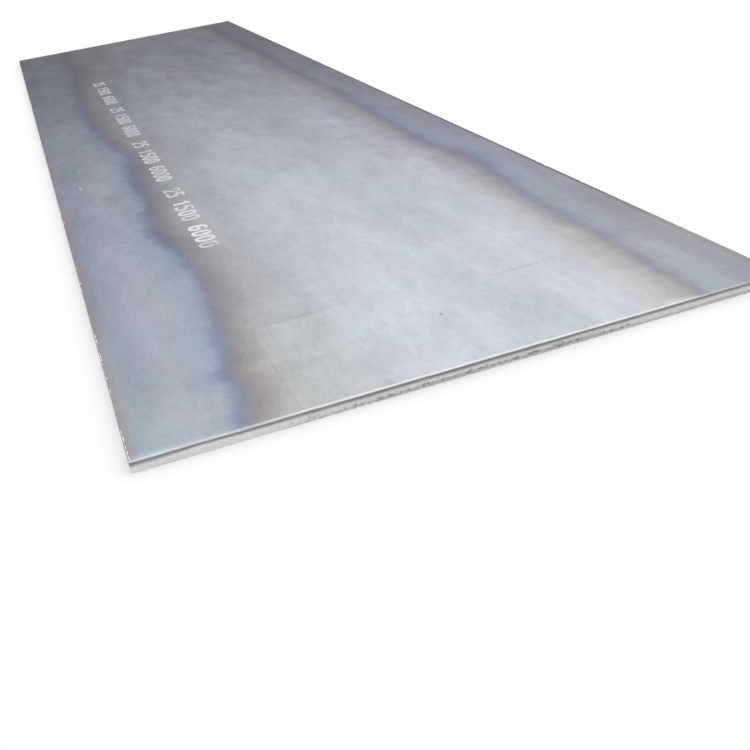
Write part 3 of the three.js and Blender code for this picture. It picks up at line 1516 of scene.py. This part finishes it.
    def draw_rim(self, mesh: Mesh) -> list[bmesh.types.BMEdge]:
        """Draws the top face's outline, as a loop of short edges.

        Args:
            mesh: The empty mesh.

        Returns:
            The outline's edges.
        """
        bmesh.ops.create_grid(mesh, x_segments=1, y_segments=1, size=0.5)
        bmesh.ops.scale(mesh, vec=(self.width, self.length, 1.0), verts=mesh.verts)
        bmesh.ops.translate(mesh, vec=(0.0, 0.0, self.top), verts=mesh.verts)
        bmesh.ops.delete(mesh, geom=mesh.faces[:], context="FACES_ONLY")
        for edge in mesh.edges[:]:
            middle = (edge.verts[0].co + edge.verts[1].co) / 2
            columns = self.side_columns
            if abs(middle.y) > abs(middle.x):
                columns = self.near_columns if middle.y < 0 else self.far_columns
            bmesh.ops.subdivide_edges(mesh, edges=[edge], cuts=columns - 1)
        return mesh.edges[:]

    def draw_wall(self, mesh: Mesh, rim: list[bmesh.types.BMEdge]) -> list[bmesh.types.BMEdge]:
        """Draws the wall down from the rim, row by row.

        Args:
            mesh: The mesh that has the rim.
            rim: The rim's edges.

        Returns:
            The edges of the loop at the wall's foot.
        """
        loop = rim
        depths = self.row_depths()
        for above, depth in zip(depths, depths[1:]):
            made = bmesh.ops.extrude_edge_only(mesh, edges=loop)["geom"]
            corners = {part for part in made if isinstance(part, bmesh.types.BMVert)}
            bmesh.ops.translate(mesh, vec=(0.0, 0.0, above - depth), verts=list(corners))
            edges = {edge for vertex in corners for edge in vertex.link_edges}
            loop = [edge for edge in edges if set(edge.verts) <= corners]
        return loop

    def add_face(self, mesh: Mesh, loop: list[bmesh.types.BMEdge], height: float) -> None:
        """Closes a loop with a flat face, cut into cells so that no face is long and thin.

        Args:
            mesh: The mesh that has the loop.
            loop: The loop's edges.
            height: The loop's height, in metres.
        """
        faces = bmesh.ops.edgeloop_fill(mesh, edges=loop)["faces"]
        across, down = self.face_cells
        cuts = [((step / across - 0.5) * self.width, Vector((1, 0, 0))) for step in range(1, across)]
        cuts += [((step / down - 0.5) * self.length, Vector((0, 1, 0))) for step in range(1, down)]
        for place, normal in cuts:
            around = {part for face in faces for part in (face, *face.edges, *face.verts)}
            middle = normal * place + Vector((0, 0, height))
            bmesh.ops.bisect_plane(
                mesh, geom=list(around), dist=CUT_TOLERANCE, plane_co=middle, plane_no=normal
            )
            faces = [f for f in mesh.faces if all(abs(v.co.z - height) < LEVEL_TOLERANCE for v in f.verts)]

    def assign_finishes(self, mesh: Mesh) -> None:
        """Gives each face its finish, while the wall is still a plain box.

        Args:
            mesh: The plain box.
        """
        scale, end, side, under = range(4)
        skin_foot = self.top - self.skin_share * self.end_section.rollover_drop
        for face in mesh.faces:
            middle = face.calc_center_median()
            levels = [vertex.co.z for vertex in face.verts]
            face.smooth = max(levels) - min(levels) >= LEVEL_TOLERANCE
            if not face.smooth:
                face.material_index = scale if middle.z > self.thickness / 2 else under
            elif abs(middle.x) > self.width / 2 - SIDE_TOLERANCE:
                face.material_index = side
            else:
                face.material_index = scale if middle.z > skin_foot else end

    def shape_vertex(self, vertex: bmesh.types.BMVert) -> None:
        """Moves a point of the plain box to its place on the sheared plate, and stores its masks.

        Args:
            vertex: The point.
        """
        x, y, z = vertex.co
        depth = self.top - z
        half_width, half_length = self.width / 2, self.length / 2
        end_inset = self.end_section.inset(depth, self.thickness)
        side_inset = self.side_section.inset(self.thickness - depth, self.thickness)
        vertex.co.x = x * (1.0 - side_inset / half_width)
        vertex.co.y = y * (1.0 - end_inset / half_length)
        if abs(y) > half_length - SIDE_TOLERANCE:
            self.shape_end(vertex, x, y, depth)
        elif abs(x) > half_width - SIDE_TOLERANCE:
            self.shape_side(vertex, x, y, depth)

    def shape_end(self, vertex: bmesh.types.BMVert, x: float, y: float, depth: float) -> None:
        """Adds a crosscut's relief to a point of an end.

        Args:
            vertex: The point.
            x: Its place across the plain box, in metres.
            y: Its place along the plain box, in metres.
            depth: Its depth, in metres.
        """
        cut = self.near_cut if y < 0 else self.far_cut
        across = x + self.width / 2
        masks = cut.masks(across, depth)
        vertex[self.masks] = masks
        drop = self.end_section.rollover_drop
        share = smoothstep(self.relief_share * drop, drop, depth)
        rounding = self.corner_rounding(across, depth)
        vertex.co.y -= math.copysign(share * cut.recess(across, depth, masks) + rounding, y)
        low = smoothstep(self.thickness - self.lift_height, self.thickness, depth)
        vertex.co.z += low * cut.lift_at(across)

    def corner_rounding(self, across: float, depth: float) -> float:
        """Works out how the cut falls back in the last few millimetres before a corner, more so lower down.

        Args:
            across: The place across, in metres from the left edge.
            depth: The depth, in metres.

        Returns:
            How far the cut falls back there, in metres.
        """
        from_corner = min(across, self.width - across)
        if from_corner >= self.corner_radius:
            return 0.0
        rise = 1.0 - from_corner / self.corner_radius
        fall = self.corner_fall * self.corner_radius * (1.0 - math.sqrt(1.0 - self.corner_fullness * rise * rise))
        return fall * (self.corner_top + (1.0 - self.corner_top) * depth / self.thickness)

    def shape_side(self, vertex: bmesh.types.BMVert, x: float, y: float, depth: float) -> None:
        """Adds a sheared long edge's relief to a point of it.

        Args:
            vertex: The point.
            x: Its place across the plain box, in metres.
            y: Its place along the plain box, in metres.
            depth: Its depth, in metres.
        """
        height = self.thickness - depth
        masks = self.side.masks(x, y, height)
        vertex[self.masks] = masks
        vertex.co.x -= math.copysign(self.side.recess(x, y, height, masks[0]), x)

    def mark_sharp_edges(self, mesh: Mesh) -> None:
        """Marks the plate's real corners as sharp, so that its walls shade smoothly between them.

        Args:
            mesh: The shaped mesh.
        """
        for edge in mesh.edges:
            if len(edge.link_faces) == 2 and edge.calc_face_angle(0.0) > math.radians(self.corner_angle):
                edge.smooth = False


@dataclass
class EdgeBurrs:
    """Small bright burrs that stand up along the top of both long edges, thickest near the left corner.

    All sizes are in metres.

    Attributes:
        plate: The plate that they stand on.
        first: How far from the near end they start.
        end_gap: How far from the far end they stop.
        crowded: How far along the left edge they are crowded.
        gap_share: What both gaps are multiplied by.
        lengths: The shortest and the longest.
        widths: The narrowest and the widest.
        from_edge: How far they lie inside the edge, and what chance adds at most.
        turn: How far they are turned out of line, in radians.
        lowest: How high the lowest are, as a share of the highest.
    """

    plate: RolledPlate
    first: float = 0.012
    end_gap: float = 0.05
    crowded: float = 0.72
    crowded_gap: float = 0.075
    open_gap: float = 0.42
    gap_share: float = 0.6
    lengths: Point = (0.007, 0.030)
    widths: Point = (1.4 * MM, 2.8 * MM)
    from_edge: Point = (1.7 * MM, 0.8 * MM)
    turn: float = 0.02
    height: float = 0.16 * MM
    lowest: float = 0.6
    seed: int = 5

    def build(self) -> bpy.types.Object:
        """Builds the burrs as one mesh of slender beads, half sunk into the face.

        Returns:
            The finished piece.
        """
        mesh = bmesh.new()
        chance = random.Random(self.seed)
        for edge in Edge:
            place = self.first
            while place < self.plate.length - self.end_gap:
                length = chance.uniform(*self.lengths)
                width = chance.uniform(*self.widths)
                self.add_burr(mesh, chance, edge, place + length / 2, length, width)
                crowded = edge is Edge.LEFT and place < self.crowded
                gap = self.crowded_gap if crowded else self.open_gap
                place += length + chance.expovariate(1.0 / gap) * self.gap_share
        for face in mesh.faces:
            face.smooth = True
        return make_piece(mesh, "edge_burrs", [BareBurr().material()])

    def add_burr(self, mesh: Mesh, chance: random.Random, edge: Edge, v: float, length: float,
                 width: float) -> None:
        """Adds one bead to the mesh.

        Args:
            mesh: The mesh that holds the burrs.
            chance: The burrs' own random numbers.
            edge: The long edge that it stands on.
            v: Its middle, as metres along from the near end.
            length: Its length, in metres.
            width: Its width, in metres.
        """
        made = bmesh.ops.create_icosphere(mesh, subdivisions=2, radius=0.5)["verts"]
        inside, more = self.from_edge
        out = self.plate.width / 2 - width / 2 - (inside + chance.uniform(0.0, more))
        shape = Matrix.Translation((edge.value * out, v - self.plate.length / 2, self.plate.top))
        shape @= Matrix.Rotation(chance.gauss(0.0, self.turn), 4, "Z")
        shape @= Matrix.Diagonal((width, length, 2.0 * self.height * chance.uniform(self.lowest, 1.0), 1.0))
        bmesh.ops.transform(mesh, matrix=shape, verts=made)


STROKES: dict[str, tuple[Point, ...]] = {
    "0": (
        (0.5, 1.0), (0.14, 0.92), (0.0, 0.68), (0.0, 0.32), (0.14, 0.08), (0.5, 0.0), (0.86, 0.08),
        (1.0, 0.32), (1.0, 0.68), (0.86, 0.92), (0.5, 1.0),
    ),
    "1": ((0.22, 0.78), (0.55, 1.0), (0.55, 0.0)),
    "2": ((0.0, 0.76), (0.14, 0.94), (0.5, 1.0), (0.86, 0.93), (1.0, 0.72), (0.84, 0.48), (0.0, 0.0), (1.0, 0.0)),
    "5": (
        (0.95, 1.0), (0.1, 1.0), (0.05, 0.56), (0.5, 0.63), (0.88, 0.54), (1.0, 0.30), (0.86, 0.07),
        (0.45, 0.0), (0.0, 0.10),
    ),
    "6": (
        (0.86, 0.94), (0.5, 1.0), (0.14, 0.82), (0.0, 0.42), (0.12, 0.08), (0.5, 0.0), (0.88, 0.09),
        (1.0, 0.31), (0.86, 0.54), (0.5, 0.60), (0.1, 0.46),
    ),
}


@dataclass
class SizeFigures:
    """The plate's sizes in millimetres, sprayed in white dots along its top face, over and over.

    They read from the far end to the near one, with their tops towards the right edge. All sizes are in metres. A
    range is the least and the greatest, as shares of the size that it is named for.

    Attributes:
        plate: The plate that they are sprayed on.
        repeat_gap: How many figures' room lies between two times.
        dot_size: A dot's half sizes, across and along the plate.
        scatter: How far dots stray, across and along the plate.
        lowest: How high the lowest dots are, as a share of the highest.
        sunk: How far a dot reaches into the face.
        shoulder: A dot's top, as a share of its foot.
        thinning: How much smaller a wholly worn figure's dots are.
        stray_reach: Where stray droplets lie along the line, in figure widths.
        near_wear: How worn the nearest figures are, from the last one on.
    """

    plate: RolledPlate
    figure_height: float = 55.0 * MM
    figure_width: float = 35.0 * MM
    advance: float = 61.0 * MM
    foot_from_left: float = 364.0 * MM
    last_figure_from_near_end: float = 1146.0 * MM
    repeats: int = 4
    repeat_gap: int = 2
    dot_pitch: float = 4.4 * MM
    pitch_range: Point = (0.85, 1.15)
    dot_size: Point = (5.2 * MM, 10.0 * MM)
    size_range: Point = (0.86, 1.10)
    scatter: Point = (0.35 * MM, 0.45 * MM)
    dot_height: float = 0.12 * MM
    lowest: float = 0.7
    sunk: float = 0.02 * MM
    shoulder: float = 0.84
    sides: int = 9
    thinning: float = 0.15
    strays: int = 5
    stray_reach: Point = (-0.25, 1.25)
    stray_size: Point = (0.15, 0.3)
    near_wear: tuple[float, ...] = (0.42, 0.05, 0.0, 0.05, 0.0, 0.35, 0.2)
    wear_range: Point = (0.05, 0.5)
    seed: int = 8

    def words(self) -> list[str]:
        """The plate's thickness, width and length, as whole millimetres."""
        sizes = (self.plate.high.z - self.plate.low.z, self.plate.width, self.plate.length)
        return [str(round(size / MM)) for size in sizes]

    def build(self) -> bpy.types.Object:
        """Builds the figures as one mesh of low dots.

        Returns:
            The finished piece.
        """
        mesh = bmesh.new()
        self.wear = mesh.verts.layers.float.new("wear")
        chance = random.Random(self.seed)
        line = (" " * self.repeat_gap).join([" ".join(self.words())] * self.repeats)
        for count, character in enumerate(reversed(line)):
            worn = self.near_wear[count] if count < len(self.near_wear) else chance.uniform(*self.wear_range)
            if character in STROKES:
                v = self.last_figure_from_near_end + count * self.advance
                self.add_figure(mesh, chance, STROKES[character], v, worn)
        return make_piece(mesh, "size_figures", [MarkingPaint().material()])

    def add_figure(self, mesh: Mesh, chance: random.Random, stroke: tuple[Point, ...], v: float,
                   worn: float) -> None:
        """Adds one figure as a row of dots along its stroke, with a few stray droplets.

        Args:
            mesh: The mesh that holds the figures.
            chance: The figures' own random numbers.
            stroke: The figure's line, in a box from 0 to 1.
            v: Where its nearer side lies, as metres from the near end.
            worn: How worn it is, from 0 to 1.
        """
        corners = [Vector((right * self.figure_width, up * self.figure_height)) for right, up in stroke]
        owed = 0.0
        for start, end in zip(corners, corners[1:]):
            reach = (end - start).length
            while owed < reach:
                self.add_dot(mesh, chance, start.lerp(end, owed / reach), v, worn, 1.0)
                owed += self.dot_pitch * chance.uniform(*self.pitch_range)
            owed -= reach
        for _ in range(self.strays):
            right = chance.uniform(*self.stray_reach) * self.figure_width
            place = Vector((right, chance.random() * self.figure_height))
            self.add_dot(mesh, chance, place, v, worn, chance.uniform(*self.stray_size))

    def add_dot(self, mesh: Mesh, chance: random.Random, place: Vector, v: float, worn: float,
                size: float) -> None:
        """Adds one dot of paint, which is drawn out along the way that the plate moved.

        Args:
            mesh: The mesh that holds the figures.
            chance: The figures' own random numbers.
            place: Its place in the figure, in metres.
            v: Where the figure's nearer side lies, as metres from the near end.
            worn: How worn the figure is, from 0 to 1.
            size: Its size, as a share of a whole dot's.
        """
        stray_x, stray_y = self.scatter
        x = self.foot_from_left + place.y - self.plate.width / 2 + chance.gauss(0.0, stray_x)
        y = v + self.figure_width - place.x - self.plate.length / 2 + chance.gauss(0.0, stray_y)
        height = self.dot_height * chance.uniform(self.lowest, 1.0)
        spread = size * chance.uniform(*self.size_range) * (1.0 - self.thinning * worn)
        shape = Matrix.Translation((x, y, self.plate.top + height / 2 - self.sunk))
        shape @= Matrix.Diagonal((self.dot_size[0] * spread, self.dot_size[1] * spread, height, 1.0))
        made = bmesh.ops.create_cone(
            mesh, cap_ends=True, segments=self.sides, radius1=1.0, radius2=self.shoulder, depth=1.0, matrix=shape
        )["verts"]
        for vertex in made:
            vertex[self.wear] = worn


@dataclass(frozen=True)
class Studio:
    """A plain white round floor under a soft pale sky that is dimmer towards the horizon, and the camera.

    Sizes are in metres and angles in degrees.

    Attributes:
        floor_gap: How far the floor lies below the plate.
        far_floor_colour: The floor's colour far away, where it fades to the sky.
        floor_fade: How far out it starts to fade and has faded.
        floor_glow: How much brighter it looks than it is lit, so that it is seen as white.
        sky: The sky's strength, at heights above the horizon from 0 to 1.
        camera_from_corner: The camera's place from the near left corner of the top face.
        heading: How far the camera is turned to the right of the plate's length.
        focal_pixels: Its focal length, in pixels of a frame of `frame_pixels`.
        sensor: The sensor's width, in millimetres.
    """

    floor_radius: float = 200.0
    floor_sides: int = 96
    floor_gap: float = 0.2 * MM
    floor_colour: Colour = (0.80, 0.80, 0.80)
    far_floor_colour: Colour = (0.38, 0.385, 0.385)
    floor_fade: Point = (11.0, 60.0)
    floor_glow: float = 0.24
    sky: tuple[Point, ...] = (
        (0.0, 0.36), (0.16, 0.37), (0.19, 0.46), (0.22, 0.76), (0.25, 1.04), (0.29, 1.15), (0.42, 1.15),
        (0.56, 1.0), (1.0, 0.95),
    )
    sky_colour: Colour = (0.985, 0.995, 1.0)
    near_left_corner: Point = (-0.75, -3.0)
    camera_from_corner: Place = (0.0154, -1.7759, 0.9788)
    heading: float = 15.634
    pitch: float = 27.049
    roll: float = 8.752
    focal_pixels: float = 1024.75
    frame_pixels: float = 750.0
    sensor: float = 36.0
    clip: Point = (0.05, 400.0)

    def build(self, top: float) -> None:
        """Builds the floor, the sky and the camera.

        Args:
            top: The height of the plate's top face, in metres.
        """
        self.add_floor()
        self.add_sky()
        self.add_camera(top)

    def add_floor(self) -> None:
        """Adds the floor, which keeps the plate's shadow, looks white and far away fades to the sky."""
        mesh = bmesh.new()
        bmesh.ops.create_circle(mesh, cap_ends=True, segments=self.floor_sides, radius=self.floor_radius)
        bmesh.ops.translate(mesh, vec=(0.0, 0.0, -self.floor_gap), verts=mesh.verts)
        material, bench = new_material("floor_white")
        rays = bench.node("LightPath").outputs
        seen = bench.math("ADD", rays["Is Camera Ray"], rays["Is Glossy Ray"])
        seen = bench.math("ADD", seen, rays["Is Transmission Ray"], clamp=True)
        reach = bench.node("VectorMath", operation="LENGTH")
        bench.feed(reach.inputs[0], bench.place())
        near = bench.span(reach.outputs["Value"], *self.floor_fade, 1.0, 0.0)
        bench.surface(
            Base_Color=bench.mix(near, self.far_floor_colour, self.floor_colour),
            Roughness=1.0,
            Specular_IOR_Level=0.0,
            Emission_Color=grey(1.0),
            Emission_Strength=bench.math("MULTIPLY", bench.math("MULTIPLY", seen, near), self.floor_glow),
        )
        make_piece(mesh, "floor", [material])

    def add_sky(self) -> None:
        """Lights the scene from a sky whose brightness depends only on the height above the horizon."""
        world = bpy.data.worlds.new("studio_sky")
        bpy.context.scene.world = world
        world.use_nodes = True
        bench = Bench(world.node_tree)
        _, _, up = bench.axes(bench.node("TexCoord").outputs["Generated"])
        glow = bench.node("Background")
        bench.feed(glow.inputs["Color"], self.sky_colour)
        bench.feed(glow.inputs["Strength"], bench.curve(bench.math("MAXIMUM", up, 0.0), self.sky))
        bench.tree.links.new(glow.outputs[0], bench.node("OutputWorld").inputs[0])

    def add_camera(self, top: float) -> None:
        """Adds the camera.

        Args:
            top: The height of the plate's top face, in metres.
        """
        data = bpy.data.cameras.new("camera")
        data.sensor_width = self.sensor
        data.lens = self.focal_pixels / self.frame_pixels * self.sensor
        data.clip_start, data.clip_end = self.clip
        camera = bpy.data.objects.new("camera", data)
        corner = Vector((*self.near_left_corner, top))
        turn = Matrix.Rotation(-math.radians(self.heading), 4, "Z")
        turn @= Matrix.Rotation(math.radians(90.0 - self.pitch), 4, "X")
        turn @= Matrix.Rotation(-math.radians(self.roll), 4, "Z")
        camera.matrix_world = Matrix.Translation(corner + Vector(self.camera_from_corner)) @ turn
        bpy.context.scene.collection.objects.link(camera)
        bpy.context.scene.camera = camera


def report(piece: bpy.types.Object) -> None:
    """Logs a piece's name and its number of triangles."""
    triangles = sum(len(face.vertices) - 2 for face in piece.data.polygons)
    log.info("%s: %d triangles", piece.name, triangles)


def main() -> None:
    """Builds the plate, its burrs and its figures, and the studio round them."""
    logging.basicConfig(level=logging.INFO, format="%(name)s %(message)s")
    bpy.context.scene.view_settings.view_transform = "Standard"
    low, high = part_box(PLATE_NODE)
    plate = RolledPlate(low, high)
    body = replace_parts(plate.build(), PLATE_NODE)
    burrs = EdgeBurrs(plate).build()
    figures = SizeFigures(plate).build()
    for piece, slot in ((body, STEEL_SLOT), (burrs, STEEL_SLOT), (figures, PAINT_SLOT)):
        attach(piece, BODY)
        report(piece)
    Studio().build(high.z)


if __name__ == "__main__":
    main()
